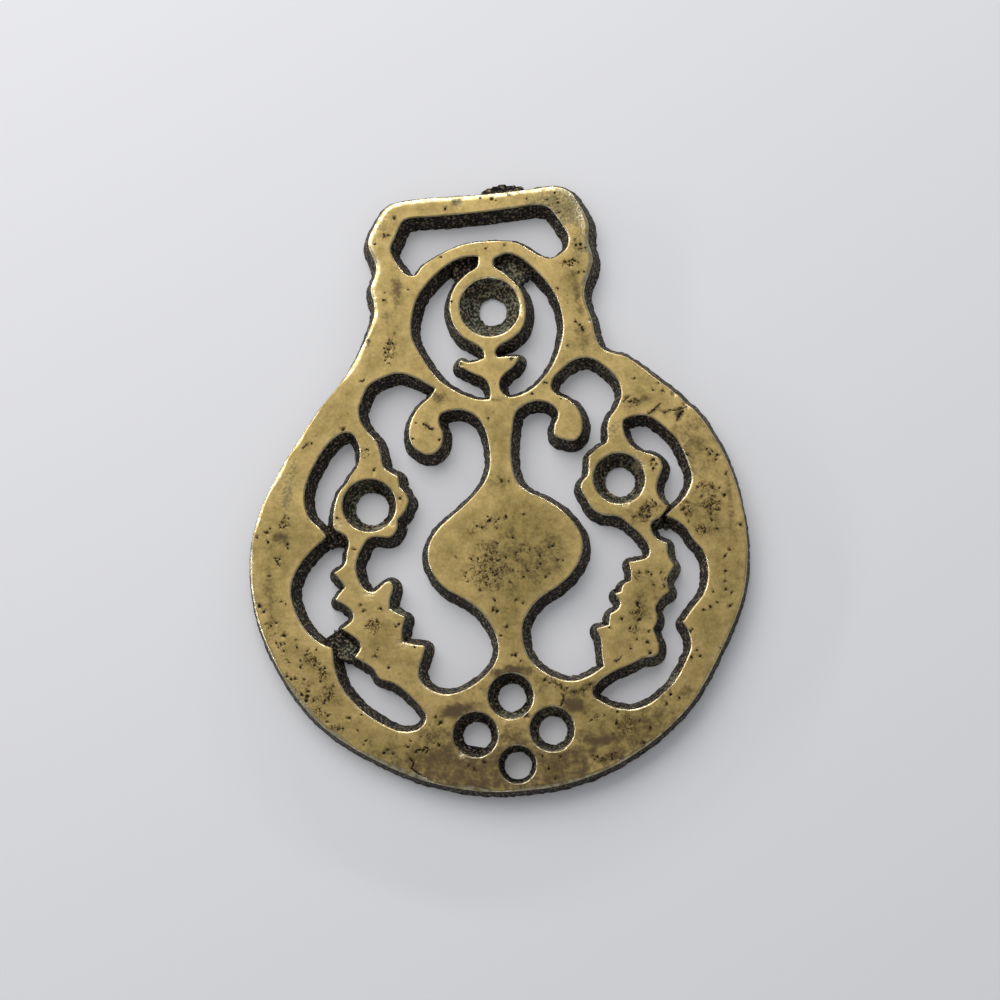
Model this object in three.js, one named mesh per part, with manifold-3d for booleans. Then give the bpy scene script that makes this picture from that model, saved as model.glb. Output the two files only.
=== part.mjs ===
// Horse brass: one flat casting, pierced right through, with a strap slot in its hanger.
// It lies face up: +X to the right, +Y towards the hanger, +Z out of the face. Millimetres.

import * as THREE from 'three';
import { ConvexGeometry } from 'three/addons/geometries/ConvexGeometry.js';
import { mergeVertices } from 'three/addons/utils/BufferGeometryUtils.js';
import Module from 'manifold-3d';

const wasm = await Module();
wasm.setup();

// Driving dimensions.
const THICKNESS = 3.7;
const DRAFT = 1.35;           // how far every cut wall leans into its opening by the back
const DRAFT_SIDES = 16;       // sides of the cone that gives the walls their lean
const STEP = 0.35;            // spacing of the points first taken along a curve
const FLATNESS = 0.045;       // a point is dropped where the outline stays this close without it
const ROUND_SIDES = 44;       // sides of the countersunk holes
const SPARE = 0.5;            // extra depth under the back, which is then cut off flat

// The outlines are on the front face, with the centre of the disc at 0, 0. A curve runs
// smoothly through the knots and breaks at each knot marked SHARP. Two SHARP knots in a
// row make a straight stretch. The two halves differ because the pattern was cut by hand.
const SHARP = true;

const RIM = [
  // top bar, from right to left
  [14.3, 62.2], [9, 62], [-1, 61.6], [-9, 61.5], [-13, 61.3], [-15.3, 60.6],
  // left side of the hanger and its waist
  [-17, 58.5], [-18.3, 56], [-18.9, 54.4], [-18.4, 52.2], [-17.75, 50], [-18.2, 48],
  [-18.9, 46.3], [-18.6, 44], [-18.5, 42], [-19.1, 40], [-20, 38],
  // left shoulder, straight but for its waves
  [-22.2, 33.8], [-25, 29.9], [-29, 25.4], [-31.6, 21.8], [-34.2, 18.2], [-37, 13.8],
  // left and lower rim
  [-39.1, 9.9], [-40.7, 5.6], [-41.6, 0.5], [-41.6, -4.4], [-40.9, -9.4], [-39.1, -15],
  [-36.4, -20.6], [-33, -25.7], [-29.4, -29.3], [-24.8, -32.6], [-20.8, -35], [-16.6, -37.1],
  [-12.4, -38.6], [-8.2, -39.7], [-3.6, -40.35], [1.5, -40.45], [6.4, -40.15], [11, -39.2],
  // right rim
  [15.6, -37.7], [20.3, -35.4], [24.8, -32.4], [29.4, -28.3], [33.1, -23.3], [36.3, -17.7],
  [38.7, -13.3], [40.3, -8.7], [41.1, -3.3], [41.1, 1.5], [40.4, 7], [38.7, 13.1], [36, 18.6],
  [34.4, 21], [32.9, 22.4, SHARP],
  // right shoulder and the waist above it
  [31.3, 24.3], [28.7, 26.6], [25.6, 29.5], [23.4, 31.2], [20.9, 32.1], [19.6, 32.9],
  [18.8, 34.6], [18.3, 38], [17.5, 41], [17.4, 43.4], [18.5, 46.3], [19.3, 48.8],
  [18.8, 52.2], [19.05, 55.4], [17.9, 58.3], [16.4, 61],
];

const STRAP_SLOT = [
  // the straight underside of the top bar, which the strap bears on
  [-8, 58.45, SHARP], [6.5, 59.05, SHARP],
  [10.6, 59.3], [12.6, 58.6], [13.9, 56.7], [15.1, 54.5], [15.6, 52.9], [15.1, 51.1],
  [13.9, 50.1], [12.3, 49.3], [10.4, 49.9], [8, 51.6], [6, 52.7], [3.5, 53.1], [-1, 53.1],
  [-4, 52.5], [-7.6, 50.9], [-10, 49.4], [-11.3, 47.9], [-12.8, 48.2], [-14.2, 50.2],
  [-15.3, 52.9], [-14.4, 55], [-13.6, 56.8], [-12.4, 58.2],
];

const LEFT_CRESCENT = [
  [-0.1, 50.7, SHARP], [-2.2, 50.85], [-5, 50], [-8, 47.8], [-11, 44.4], [-12.4, 40.5],
  [-12.5, 37], [-11, 33.3], [-8.4, 29.2], [-5, 26.6], [-2, 25.35], [0.1, 25.2, SHARP],
  // up the stem to its barb
  [0.3, 27], [-0.4, 28.8], [-2.6, 30.15], [-4.8, 31.6, SHARP], [-4.5, 32.4, SHARP],
  [-3, 31.85], [-0.3, 32.5, SHARP],
  // round the ring
  [-0.5, 34], [-1.9, 35.3], [-4, 36.8], [-5.4, 39.6], [-5.65, 42.3], [-4.5, 45.5],
  [-2.5, 47.5], [-0.4, 48.9],
];

const RIGHT_CRESCENT = [
  [2.4, 50.2, SHARP], [2.2, 48.8], [4, 47.2], [5.8, 45.2], [6.9, 43.2], [7.1, 40],
  [6.3, 37.4], [4.5, 35.8], [2.2, 34.6], [1.45, 33.5], [1.8, 32.45, SHARP],
  // the other barb, worn away to a corner, and down the stem
  [3.5, 32.5], [5.4, 32.35, SHARP], [4.9, 31.4], [3.3, 30.1], [2, 28.7], [1.8, 27.1],
  [2.6, 25.7], [4, 25.35], [7, 26.4], [10, 29], [12.2, 32.6], [13.35, 36.3], [13.3, 40.3],
  [12.2, 43.7], [10, 46.9], [7, 50], [4.8, 50.95],
];

const LEFT_FIELD = [
  // the left scroll, from the point above it
  [-9, 27.8, SHARP], [-10, 26.4], [-12.1, 24.6], [-13.5, 22.2], [-13.9, 19.8], [-13.1, 17.7],
  [-10.8, 16.5], [-9, 17.5], [-8.35, 19.7], [-8.9, 21.9], [-8.5, 23.3], [-7.2, 23.85],
  [-4.6, 23.8], [-2.4, 22.5], [-1.1, 20.3],
  // the vase's neck, bowl and foot
  [-0.6, 17.3], [-0.65, 14.2], [-1.6, 11.4], [-3.8, 8.8], [-7, 6.1], [-9.9, 3.8],
  [-11.6, 1.4], [-12.05, -1.1], [-11.4, -3.8], [-9.6, -6.3], [-6.9, -8.1], [-4.6, -9.9],
  [-2.75, -12.3], [-1.6, -15], [-1.45, -17.6], [-2.3, -19.7], [-4, -21.5], [-6.7, -23.2],
  [-9.9, -24.1], [-12.5, -23.5], [-14.5, -21.8], [-14.95, -19.8], [-14.2, -17.8],
  // the leaf's stepped edge
  [-13.6, -15.8, SHARP], [-15, -15.6], [-17.3, -14.95, SHARP], [-17.3, -13.1],
  [-16.6, -10.8, SHARP], [-18, -10], [-19.1, -9.2, SHARP], [-18.9, -7.5], [-18.3, -5.4],
  [-18.9, -4.65], [-20.2, -5.5], [-21.6, -6.3], [-22.8, -5.9], [-24, -3.8], [-24.25, -1.4],
  // under and round the flower's petals
  [-23.3, 1], [-21.8, 2.95], [-20.2, 3.1], [-18.2, 2.95], [-17.2, 3.9], [-16.9, 5.8, SHARP],
  [-15.6, 7.1], [-14.85, 8.9], [-15.4, 10.2], [-16.2, 11.2, SHARP], [-16.3, 12.95, SHARP],
  // back up the branch and over
  [-17.2, 13.5], [-18.6, 14.7], [-19, 16.8], [-19.6, 19.2], [-21, 21], [-22, 22.8],
  [-22.3, 25], [-21.6, 26.9], [-20.4, 29.1], [-18, 30.4], [-15, 31], [-12, 29.8],
];

const RIGHT_FIELD = [
  // the right scroll, from the vase's neck
  [4.2, 22.8], [5.4, 23.8], [7.6, 24.55], [10, 24], [11.4, 22.5], [11.3, 21.2], [10.7, 20.1],
  [10.5, 18.4, SHARP], [11.3, 17.85], [13.8, 17.3], [15, 18.6], [15.25, 20.6], [14.7, 22.6],
  [13, 24.4], [11.3, 25.35], [10.5, 26.6], [10.9, 28.2],
  // over and down the branch
  [13, 30.15], [15.2, 31.4], [17.7, 31.35], [20.2, 29.5], [22.1, 27], [22.4, 24.6],
  [21.4, 22.3], [19.9, 20.3], [19.5, 18.4], [19.3, 16.6], [17.9, 15.7],
  // the flower's petals
  [16.1, 14.3, SHARP], [15.9, 12.6], [15.6, 11.1, SHARP], [14.6, 10], [14.3, 9], [14.9, 7.4],
  [16.2, 5, SHARP], [17.6, 4.2], [20.2, 3.7], [22, 2.1], [23.9, 0], [24.9, -2], [24.6, -3.4],
  [23.3, -4],
  // the leaf's stepped edge
  [21.25, -4.2, SHARP], [21.5, -5.6], [21.4, -7.3, SHARP], [20, -8], [19.6, -9.1, SHARP],
  [18.6, -9.35, SHARP], [19.3, -10.9], [18.7, -12], [17.45, -12.6, SHARP], [17.1, -14.5, SHARP],
  [15, -14.9, SHARP], [15.6, -16.7], [15.6, -19], [15.75, -21.2, SHARP],
  // the vase's foot, bowl and neck
  [13.5, -22.5], [10.6, -23.35], [7.5, -22.6], [5, -20.9], [3.3, -18.8], [2.6, -15.8],
  [2.8, -13.2], [4.1, -10.9], [6.2, -8.9], [9.5, -7], [12, -4.7], [13.4, -2.2], [13.7, 0.3],
  [12.9, 2.5], [10.8, 5.2], [8, 7.4], [5, 9.1], [3.5, 11], [2.95, 13.2], [2.9, 16.2],
  [3.25, 19.2], [3.75, 21.3],
];

const LEFT_SIDE = [
  // down behind the flower, along the rim
  [-25, 21.3], [-27.4, 19.9], [-29.8, 16.8], [-31.7, 13.2], [-32.3, 9.8], [-31.6, 7],
  [-30, 5.2], [-28.9, 3.6, SHARP], [-31, 1.95], [-33.2, -0.3], [-34.8, -3], [-35.3, -5.4],
  [-34.8, -8.2], [-33.4, -11.4], [-31.2, -13.9], [-28.9, -15.2, SHARP], [-28.8, -17.4],
  // along the lower rim to the end of the slot
  [-27.8, -21.4], [-25, -25.3], [-21.8, -27.9], [-18.4, -29.6], [-15.4, -29.4], [-14, -27.5],
  [-15.2, -25.3], [-17.4, -22.8], [-19.2, -21.4], [-21.3, -20.6], [-22.2, -19], [-23.4, -18],
  [-25.1, -16.9, SHARP],
  // the leaf's teeth
  [-24.1, -15.4], [-24.3, -14.3], [-27, -12, SHARP], [-25.3, -10.8], [-25, -9.7],
  [-26, -8.3], [-27.8, -7.1, SHARP], [-27, -6], [-26.1, -5.1, SHARP], [-26.8, -3.9],
  [-27.8, -2.6, SHARP], [-26, -1.3], [-25.4, 0.9], [-25.05, 2.6], [-25.7, 3.7],
  // the flower's petals from behind
  [-27.3, 4.9], [-27.4, 7], [-27, 9.2], [-26, 11.3, SHARP], [-25, 12.3], [-24.2, 13.6],
  [-22.9, 15.3], [-22.35, 17.3], [-22.7, 19.6], [-23.6, 21],
];

const RIGHT_SIDE = [
  // behind the flower
  [22.3, 20.2], [24.6, 20.85], [26.6, 20.6], [28.7, 18.9], [30.8, 16.7], [32.1, 13.8],
  [32.95, 10.6], [32.9, 8.8], [31.7, 6.5], [30, 4.95], [28.2, 3.3, SHARP],
  // down the rim, with its one point
  [29.3, 2.7], [31.2, 1.1], [32.4, -1.2], [33.7, -2.9], [34.3, -5], [34.1, -8.2],
  [33.2, -10.4], [31.4, -12.4], [29.4, -14.8, SHARP], [30.2, -16.5], [30.35, -19],
  [28.9, -21.9], [27.1, -24.6], [24.8, -26.6], [22, -28.2], [19.2, -28.65], [16.5, -28],
  [13.7, -26.3, SHARP], [13.4, -25.3], [14.5, -23.7], [16.9, -22.2], [19.8, -21.2],
  [22, -20.25], [24.5, -19.8], [24.95, -18.6],
  // the leaf's teeth
  [24.2, -15.6, SHARP], [25.05, -14], [24.9, -12.1], [26, -10.5], [27.5, -9.5, SHARP],
  [27.2, -7.6], [28.65, -5.2, SHARP], [27.9, -3.8], [27.8, -1.4, SHARP], [26.2, -0.6],
  [25.4, 0.8], [25.5, 2.4], [26.9, 3.1], [28.4, 4.7, SHARP],
  // the flower's petals from behind
  [27.2, 6.2], [26.8, 8], [27.3, 9.8], [28.1, 11.6], [27.8, 12.9], [26.6, 13.8],
  [25, 14.3], [23.4, 15.4], [22.4, 17.1], [22.1, 18.7],
];

// Thin bridges left low down in the openings, under the level of the face.
const BRIDGES = [
  { top: 1.5, knots: [[-30.4, 4.4], [-28.2, 2.2], [-24.6, 2.6], [-26.8, 6.2]] },
  { top: 1.9, knots: [[-30, -13.2], [-27.2, -11.6], [-23.4, -14], [-24.6, -17.4], [-29.4, -16.6]] },
  { top: 1.3, knots: [[26.2, 3.3], [28.4, 1.6], [30.6, 4.4], [27.6, 6.2]] },
  { top: 1.5, knots: [[-5.2, 50.8], [-4.1, 45.9], [0.6, 48.4], [0.4, 51.4]] },
  { top: 1.6, knots: [[1.6, 47.8], [6, 45.4], [8.9, 47.3], [7.6, 51.4], [1.8, 51.4]] },
];

// A tongue of casting flash at the back of the top bar.
const FLASH = { top: 1.5, knots: [[0.2, 61], [1.6, 63.4], [4.6, 64.1], [8, 63.6], [9.8, 61]] };

// Holes sunk from the face: its radius at the face, the ledge and the bore at the back.
const SUNK_HOLES = [
  { x: 1.1, y: 41.45, face: 5.3, ledge: 3.4, bore: 2.5 },
  { x: -21.4, y: 8.45, face: 4.6, ledge: 3.5, bore: 2.9 },
  { x: 20.75, y: 10.15, face: 4.45, ledge: 3.4, bore: 2.6 },
  { x: 0, y: -25, face: 3.85, ledge: 2.9, bore: 2.45 },
  { x: -6.2, y: -30.9, face: 3.8, ledge: 2.9, bore: 2.4 },
  { x: 6.4, y: -30.85, face: 3.75, ledge: 2.9, bore: 2.45 },
  { x: 0.3, y: -36.2, face: 3.15, ledge: 2.7, bore: 2.35 },
];
const LEDGE_HEIGHT = 1.1;
const BORE_HEIGHT = 0.7;

/** Drops the points between first and last that the line between them makes needless. */
function thin(points) {
  const first = points[0];
  const last = points[points.length - 1];
  const line = new THREE.Line3(new THREE.Vector3(...first, 0), new THREE.Vector3(...last, 0));
  const closest = new THREE.Vector3();
  let farthest = 0;
  let reach = FLATNESS;
  for (let i = 1; i < points.length - 1; i += 1) {
    const point = new THREE.Vector3(...points[i], 0);
    const gap = line.closestPointToPoint(point, true, closest).distanceTo(point);
    if (gap > reach) {
      farthest = i;
      reach = gap;
    }
  }
  if (farthest === 0) return [first, last];
  return [...thin(points.slice(0, farthest + 1)).slice(0, -1), ...thin(points.slice(farthest))];
}

/** Follows the knots with a smooth curve, broken at SHARP knots, and returns its corners. */
function outline(knots) {
  const start = Math.max(0, knots.findIndex(([, , sharp]) => sharp));
  const loop = [...knots.slice(start), ...knots.slice(0, start)];
  const corners = loop.flatMap(([, , sharp], i) => (sharp ? [i] : []));
  const vectors = loop.map(([x, y]) => new THREE.Vector3(x, y, 0));
  const curves = [];
  if (corners.length === 0) {
    curves.push(new THREE.CatmullRomCurve3(vectors, true, 'centripetal'));
  }
  corners.forEach((corner, i) => {
    const next = corners[i + 1] ?? loop.length;
    const stretch = vectors.slice(corner, next + 1);
    if (next === loop.length) stretch.push(vectors[0]);
    curves.push(new THREE.CatmullRomCurve3(stretch, false, 'centripetal'));
  });
  return curves.flatMap((curve) => {
    const count = Math.ceil(curve.getLength() / STEP);
    const points = curve.getSpacedPoints(count).map(({ x, y }) => [x, y]);
    const middle = Math.floor(points.length / 2);
    const halves = [points.slice(0, middle + 1), points.slice(middle)];
    const kept = curve.points.length === 2
      ? [points[0]]
      : halves.flatMap((half) => thin(half).slice(0, -1));
    return kept;
  });
}

/** Makes a solid that can be joined and cut from any closed three.js geometry. */
function solid(geometry) {
  geometry.deleteAttribute('normal');
  geometry.deleteAttribute('uv');
  const merged = mergeVertices(geometry, 1e-5);
  const mesh = new wasm.Mesh({
    numProp: 3,
    vertProperties: new Float32Array(merged.attributes.position.array),
    triVerts: new Uint32Array(merged.index.array),
  });
  return new wasm.Manifold(mesh);
}

/** A flat plate with upright walls, from just under the back up to the given height. */
function plate(points, holes, height) {
  const shape = new THREE.Shape(points.map(([x, y]) => new THREE.Vector2(x, y)));
  shape.holes = holes.map((hole) => new THREE.Path(hole.map(([x, y]) => new THREE.Vector2(x, y))));
  const depth = height + SPARE;
  const extruded = new THREE.ExtrudeGeometry(shape, { depth, bevelEnabled: false });
  return solid(extruded.translate(0, 0, -SPARE));
}

/** The sloping skirts that hang from an outline's edges and widen towards the back. */
function skirts(points) {
  const lean = (DRAFT * (THICKNESS + SPARE)) / THICKNESS;
  return points.map((point, i) => {
    const ends = [point, points[(i + 1) % points.length]];
    const corners = ends.flatMap(([x, y]) => {
      const foot = Array.from({ length: DRAFT_SIDES }, (_, side) => {
        const angle = (side / DRAFT_SIDES) * 2 * Math.PI;
        return new THREE.Vector3(x + lean * Math.cos(angle), y + lean * Math.sin(angle), -SPARE);
      });
      return [new THREE.Vector3(x, y, THICKNESS), ...foot];
    });
    return solid(new ConvexGeometry(corners));
  });
}

/** A turned cutter for a sunk hole, running past both faces of the plate. */
function sinker({ x, y, face, ledge, bore }) {
  const slope = (face - ledge) / (THICKNESS - LEDGE_HEIGHT);
  const profile = [
    [0, -1],
    [bore, -1],
    [bore, BORE_HEIGHT],
    [ledge, LEDGE_HEIGHT],
    [face + slope, THICKNESS + 1],
    [0, THICKNESS + 1],
  ];
  const turned = new THREE.LatheGeometry(
    profile.map(([radius, height]) => new THREE.Vector2(radius, height)),
    ROUND_SIDES,
  );
  turned.rotateX(Math.PI / 2);
  return turned.translate(x, y, 0);
}

const openings = [
  STRAP_SLOT, LEFT_CRESCENT, RIGHT_CRESCENT, LEFT_FIELD, RIGHT_FIELD, LEFT_SIDE, RIGHT_SIDE,
].map(outline);
const rim = outline(RIM);

const parts = [
  plate(rim, openings, THICKNESS),
  ...[rim, ...openings].flatMap(skirts),
  ...[...BRIDGES, FLASH].map(({ top, knots }) => plate(knots, [], top)),
];
const ground = new THREE.BoxGeometry(200, 200, 4 * SPARE).translate(0, 0, -2 * SPARE);
const casting = [ground, ...SUNK_HOLES.map(sinker)].reduce(
  (metal, cutter) => metal.subtract(solid(cutter)),
  wasm.Manifold.union(parts),
);

const { vertProperties, triVerts } = casting.getMesh();
const geometry = new THREE.BufferGeometry();
geometry.setAttribute('position', new THREE.BufferAttribute(vertProperties, 3));
geometry.setIndex(new THREE.BufferAttribute(triVerts, 1));

// The middle of the footprint goes to the origin, with the back on the ground.
geometry.computeBoundingBox();
const middle = geometry.boundingBox.getCenter(new THREE.Vector3());
geometry.translate(-middle.x, -middle.y, -geometry.boundingBox.min.z);

// Old yellow brass, handled until the face is smooth.
const brass = new THREE.MeshStandardMaterial({ color: 0xa8935d, roughness: 0.42, metalness: 1 });

const horseBrass = new THREE.Mesh(geometry, brass);
horseBrass.name = 'horse_brass';

const group = new THREE.Group();
group.add(horseBrass);

export default group;
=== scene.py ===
"""A cast horse brass lying face up on a pale floor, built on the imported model's frame."""
import math

import bmesh
import bpy
import numpy as np
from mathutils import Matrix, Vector, kdtree, noise
from mathutils.geometry import delaunay_2d_cdt


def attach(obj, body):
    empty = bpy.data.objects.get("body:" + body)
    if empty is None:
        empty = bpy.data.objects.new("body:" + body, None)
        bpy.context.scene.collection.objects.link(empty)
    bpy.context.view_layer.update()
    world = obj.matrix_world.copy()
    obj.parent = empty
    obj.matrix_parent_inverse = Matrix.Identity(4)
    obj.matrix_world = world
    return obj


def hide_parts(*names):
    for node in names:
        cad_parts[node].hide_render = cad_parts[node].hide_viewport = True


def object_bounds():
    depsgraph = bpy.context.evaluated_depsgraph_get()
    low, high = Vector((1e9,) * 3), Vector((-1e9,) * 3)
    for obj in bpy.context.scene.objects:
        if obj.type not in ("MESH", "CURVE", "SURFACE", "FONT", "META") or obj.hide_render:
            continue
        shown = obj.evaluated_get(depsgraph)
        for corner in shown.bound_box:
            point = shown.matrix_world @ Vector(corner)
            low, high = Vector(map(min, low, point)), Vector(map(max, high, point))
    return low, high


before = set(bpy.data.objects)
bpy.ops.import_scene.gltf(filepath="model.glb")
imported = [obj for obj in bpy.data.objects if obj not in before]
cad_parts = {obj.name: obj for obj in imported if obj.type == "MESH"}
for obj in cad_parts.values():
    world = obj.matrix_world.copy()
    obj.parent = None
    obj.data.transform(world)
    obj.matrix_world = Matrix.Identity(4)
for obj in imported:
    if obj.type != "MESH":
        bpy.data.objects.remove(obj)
cad_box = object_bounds()

# ---------------------------------------------------------------------------------------
# The view: looking down on the brass from over its lower rim, with the hanger away from
# the viewer and the whole piece turned a few degrees.
MM = 0.001
VIEW_TILT = math.radians(11.0)
VIEW_TURN = math.radians(-4.0)
VIEW_DISTANCE = 321.5 * MM
VIEW_AIM = Vector((0.8 * MM, -3.35 * MM, cad_box[1][2]))

lens = bpy.data.cameras.new("view")
lens.sensor_width = 36.0
lens.lens = 69.12
lens.clip_start = 0.01
camera = bpy.data.objects.new("view", lens)
camera.rotation_euler = (VIEW_TILT, 0.0, VIEW_TURN)
backwards = camera.rotation_euler.to_matrix() @ Vector((0.0, 0.0, 1.0))
camera.location = VIEW_AIM + VIEW_DISTANCE * backwards
bpy.context.scene.collection.objects.link(camera)
bpy.context.scene.camera = camera

# ---------------------------------------------------------------------------------------
# The casting. It was poured in sand, its openings were filed out by hand, and a long life
# on a harness and in the hand wore the face smooth and rounded every edge. Its skin is
# laid out as rings of points that follow each outline down from the face to the back.
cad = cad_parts["horse_brass"]
DISC_CENTRE = np.array((0.255, -11.143))
THICKNESS = max(vert.co.z for vert in cad.data.vertices) / MM
WALL_LEAN = 1.35
RIM_LEAN = 0.55
LEAN_BIAS = 0.2
BORE_TAPER = 0.12
EDGE_WEAR = 0.2
RIM_WEAR = 0.65
FLAT_RING = 0.12
FINE_STEP = 0.05
EDGE_SOFTNESS = 0.12
RING_STEP = 0.3
RING_BEND = math.radians(22)
WALL_STEP = 0.6
FACE_STEP = 0.65
BACK_STEP = 2.0
GRAZE_LIFT = 0.1
PILLOW = 0.03
PILLOW_REACH = 1.2
LONG_ROLL, LONG_ROLL_LENGTH = 0.05, 14.0
SHORT_ROLL, SHORT_ROLL_LENGTH = 0.03, 4.5
LEAST_WEAR, MOST_WEAR = 0.25, 1.3
HANGER_WEAR = 1.35
HANGER_START = 33
RIGHT_SIDE_WEAR = 0.35
RAGGED_COARSE, COARSE_LENGTH = 0.14, 1.4
RAGGED_FINE, FINE_LENGTH = 0.09, 0.6
RAGGED_FOOT, FOOT_LENGTH = 0.12, 0.9
EDGE_MARGIN = 0.35
PIT_MARGIN = 0.3


def face_outlines(mesh):
    """The outlines of the flat face, in mm, each with the metal on its left."""
    solid = bmesh.new()
    solid.from_mesh(mesh)
    bmesh.ops.remove_doubles(solid, verts=solid.verts, dist=0.002 * MM)
    top = max(vert.co.z for vert in solid.verts) - 0.002 * MM
    flat = {face for face in solid.faces if all(vert.co.z > top for vert in face.verts)}
    following = {}
    for face in flat:
        for corner in face.loops:
            if corner.link_loop_radial_next.face not in flat:
                following[corner.vert] = corner.link_loop_next.vert
    outlines = []
    while following:
        vert, after = following.popitem()
        outline = [vert]
        while after in following:
            outline.append(after)
            after = following.pop(after)
        corners = np.array([vert.co.xy[:] for vert in outline]) / MM
        outlines.append(np.roll(corners, -np.argmin(corners[:, 1]), axis=0))
    solid.free()
    return sorted(outlines, key=lambda outline: tuple(outline[0]))


def curve_through(points, spacing):
    """A smooth closed curve through the points that keeps their sharp corners."""
    step = np.roll(points, -1, axis=0) - points
    length = np.linalg.norm(step, axis=1)[:, None]
    after = step / length
    before = np.roll(after, 1, axis=0)
    turn = np.arccos(np.clip((before * after).sum(axis=1), -1.0, 1.0))[:, None]
    mean = before * length + after * np.roll(length, 1, axis=0)
    mean /= np.linalg.norm(mean, axis=1)[:, None]
    sharp = turn > math.radians(32)
    leaving = np.where(sharp, after, mean)
    arriving = np.roll(np.where(sharp, before, mean), -1, axis=0)
    curve = []
    for i, start in enumerate(points):
        end = points[(i + 1) % len(points)]
        count = max(1, round(length[i, 0] / spacing))
        t = (np.arange(count) / count)[:, None]
        curve.append(
            (2 * t**3 - 3 * t**2 + 1) * start
            + (t**3 - 2 * t**2 + t) * leaving[i] * length[i]
            + (3 * t**2 - 2 * t**3) * end
            + (t**3 - t**2) * arriving[i] * length[i]
        )
    return np.concatenate(curve)


def respace(points, spacing, bend=None):
    """Spreads points evenly along a closed curve, and closer where it turns, every bend."""
    step = np.roll(points, -1, axis=0) - points
    effort = np.linalg.norm(step, axis=1) / spacing
    if bend:
        along = step[:, 0] + 1j * step[:, 1]
        effort += np.abs(np.angle(np.roll(along, -1) / along)) / bend
    travelled = np.concatenate([[0.0], np.cumsum(effort)])
    count = max(24, round(travelled[-1]))
    wanted = np.arange(count) * travelled[-1] / count
    closed = np.concatenate([points, points[:1]])
    return np.stack([np.interp(wanted, travelled, closed[:, k]) for k in range(2)], axis=1)


def soften(points, reach):
    """Averages a closed, evenly spaced run of points over a reach counted in points."""
    wave = np.fft.fftfreq(len(points))[:, None]
    damp = np.exp(-2 * (math.pi * wave * reach) ** 2)
    return np.fft.ifft(np.fft.fft(points, axis=0) * damp, axis=0).real


def outward(points):
    """Directions away from the metal, which lies to the left of the run."""
    along = np.roll(points, -1, axis=0) - np.roll(points, 1, axis=0)
    along /= np.linalg.norm(along, axis=1)[:, None]
    return np.stack([along[:, 1], -along[:, 0]], axis=1)


def ripple(places, wavelength, seed=0.0):
    """Smooth noise from about -1 to 1 that varies over the given wavelength in mm."""
    cells = places / wavelength
    return np.array([noise.noise((x, y, seed)) for x, y in cells])


def sunk_walls(mesh, centre, radius):
    """Offsets and heights down a sunk hole, read from its rings; its bore tapers a little."""
    rings = {}
    for vert in mesh.vertices:
        reach = math.hypot(vert.co.x / MM - centre[0], vert.co.y / MM - centre[1])
        if reach < radius - 0.1:
            rings.setdefault(round(vert.co.z / MM, 1), []).append(reach)
    walls = [(radius - float(np.mean(rings[level])), level) for level in sorted(rings)]
    back, height = walls[0]
    walls[0] = (back + BORE_TAPER, height)
    return walls[::-1]


def worn_profile(wear, walls):
    """Offsets and heights from the face over its rounded edge and down its walls."""
    offset, height = walls[0]
    slant = wear / math.hypot(offset, THICKNESS - height)
    foot = (offset * slant, THICKNESS - (THICKNESS - height) * slant)
    profile = [(-wear - FLAT_RING, THICKNESS)]
    for t in (0.0, 0.25, 0.5, 0.75, 1.0):
        profile.append((
            -wear * (1 - t) ** 2 + foot[0] * t**2,
            THICKNESS * (1 - t**2) + foot[1] * t**2,
        ))
    start = foot
    for end in walls:
        count = max(1, round(math.dist(start, end) / WALL_STEP))
        for t in np.arange(1, count + 1) / count:
            profile.append((
                start[0] + (end[0] - start[0]) * t,
                start[1] + (end[1] - start[1]) * t,
            ))
        start = end
    return np.array(profile)


outlines = []
profiles = []
for corners in face_outlines(cad.data):
    curve = respace(curve_through(corners, FINE_STEP), FINE_STEP)
    outline = soften(curve, EDGE_SOFTNESS / FINE_STEP)
    centre = outline.mean(axis=0)
    radii = np.linalg.norm(outline - centre, axis=1)
    walls = [(WALL_LEAN, 0.0)]
    if np.ptp(radii) < 0.1:
        walls = sunk_walls(cad.data, centre, radii.mean())
    outlines.append(outline)
    profiles.append(worn_profile(RIM_WEAR if radii.max() > 40 else EDGE_WEAR, walls))

edge_points = np.concatenate(outlines)
edge_normals = np.concatenate([outward(outline) for outline in outlines])
edge_profiles = np.repeat(np.arange(len(outlines)), [len(outline) for outline in outlines])
edge_tree = kdtree.KDTree(len(edge_points))
for i, (x, y) in enumerate(edge_points):
    edge_tree.insert((x, y, 0.0), i)
edge_tree.balance()


def to_edge(places):
    """Signed distances from the nearest outline, negative on the face, and its profile."""
    index = np.array([edge_tree.find((x, y, 0.0))[1] for x, y in places], int)
    gap = places - edge_points[index]
    side = np.sign((gap * edge_normals[index]).sum(axis=1))
    return side * np.linalg.norm(gap, axis=1), edge_profiles[index]


# The bridges and the flash: thin metal left low down where the sand mould leaked or broke.
shelves = []
cad.data.calc_loop_triangles()
for triangle in cad.data.loop_triangles:
    corners = np.array([cad.data.vertices[i].co for i in triangle.vertices]) / MM
    level = corners[0, 2]
    if triangle.normal.z > 0.999 and 1.2 < level < THICKNESS - 0.1:
        shelves.append((corners[:, :2], level))


def shelf_heights(places):
    """The heights of the bridges and the flash, and 0 where there is neither."""
    heights = np.zeros(len(places))
    for corners, level in shelves:
        inside = np.ones(len(places), bool)
        for corner, edge in zip(corners, np.roll(corners, -1, axis=0) - corners):
            gap = places - corner
            inside &= edge[0] * gap[:, 1] - edge[1] * gap[:, 0] > -0.02 * math.hypot(*edge)
        heights[inside] = level
    return heights


def grid_points(low, high, step):
    """Points on a triangular grid between two corners."""
    rows = np.arange(low[1], high[1], step * 0.87)
    columns = np.arange(low[0], high[0], step)
    x, y = np.meshgrid(columns, rows)
    x[1::2] += step / 2
    return np.stack([x.ravel(), y.ravel()], axis=1)


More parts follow.
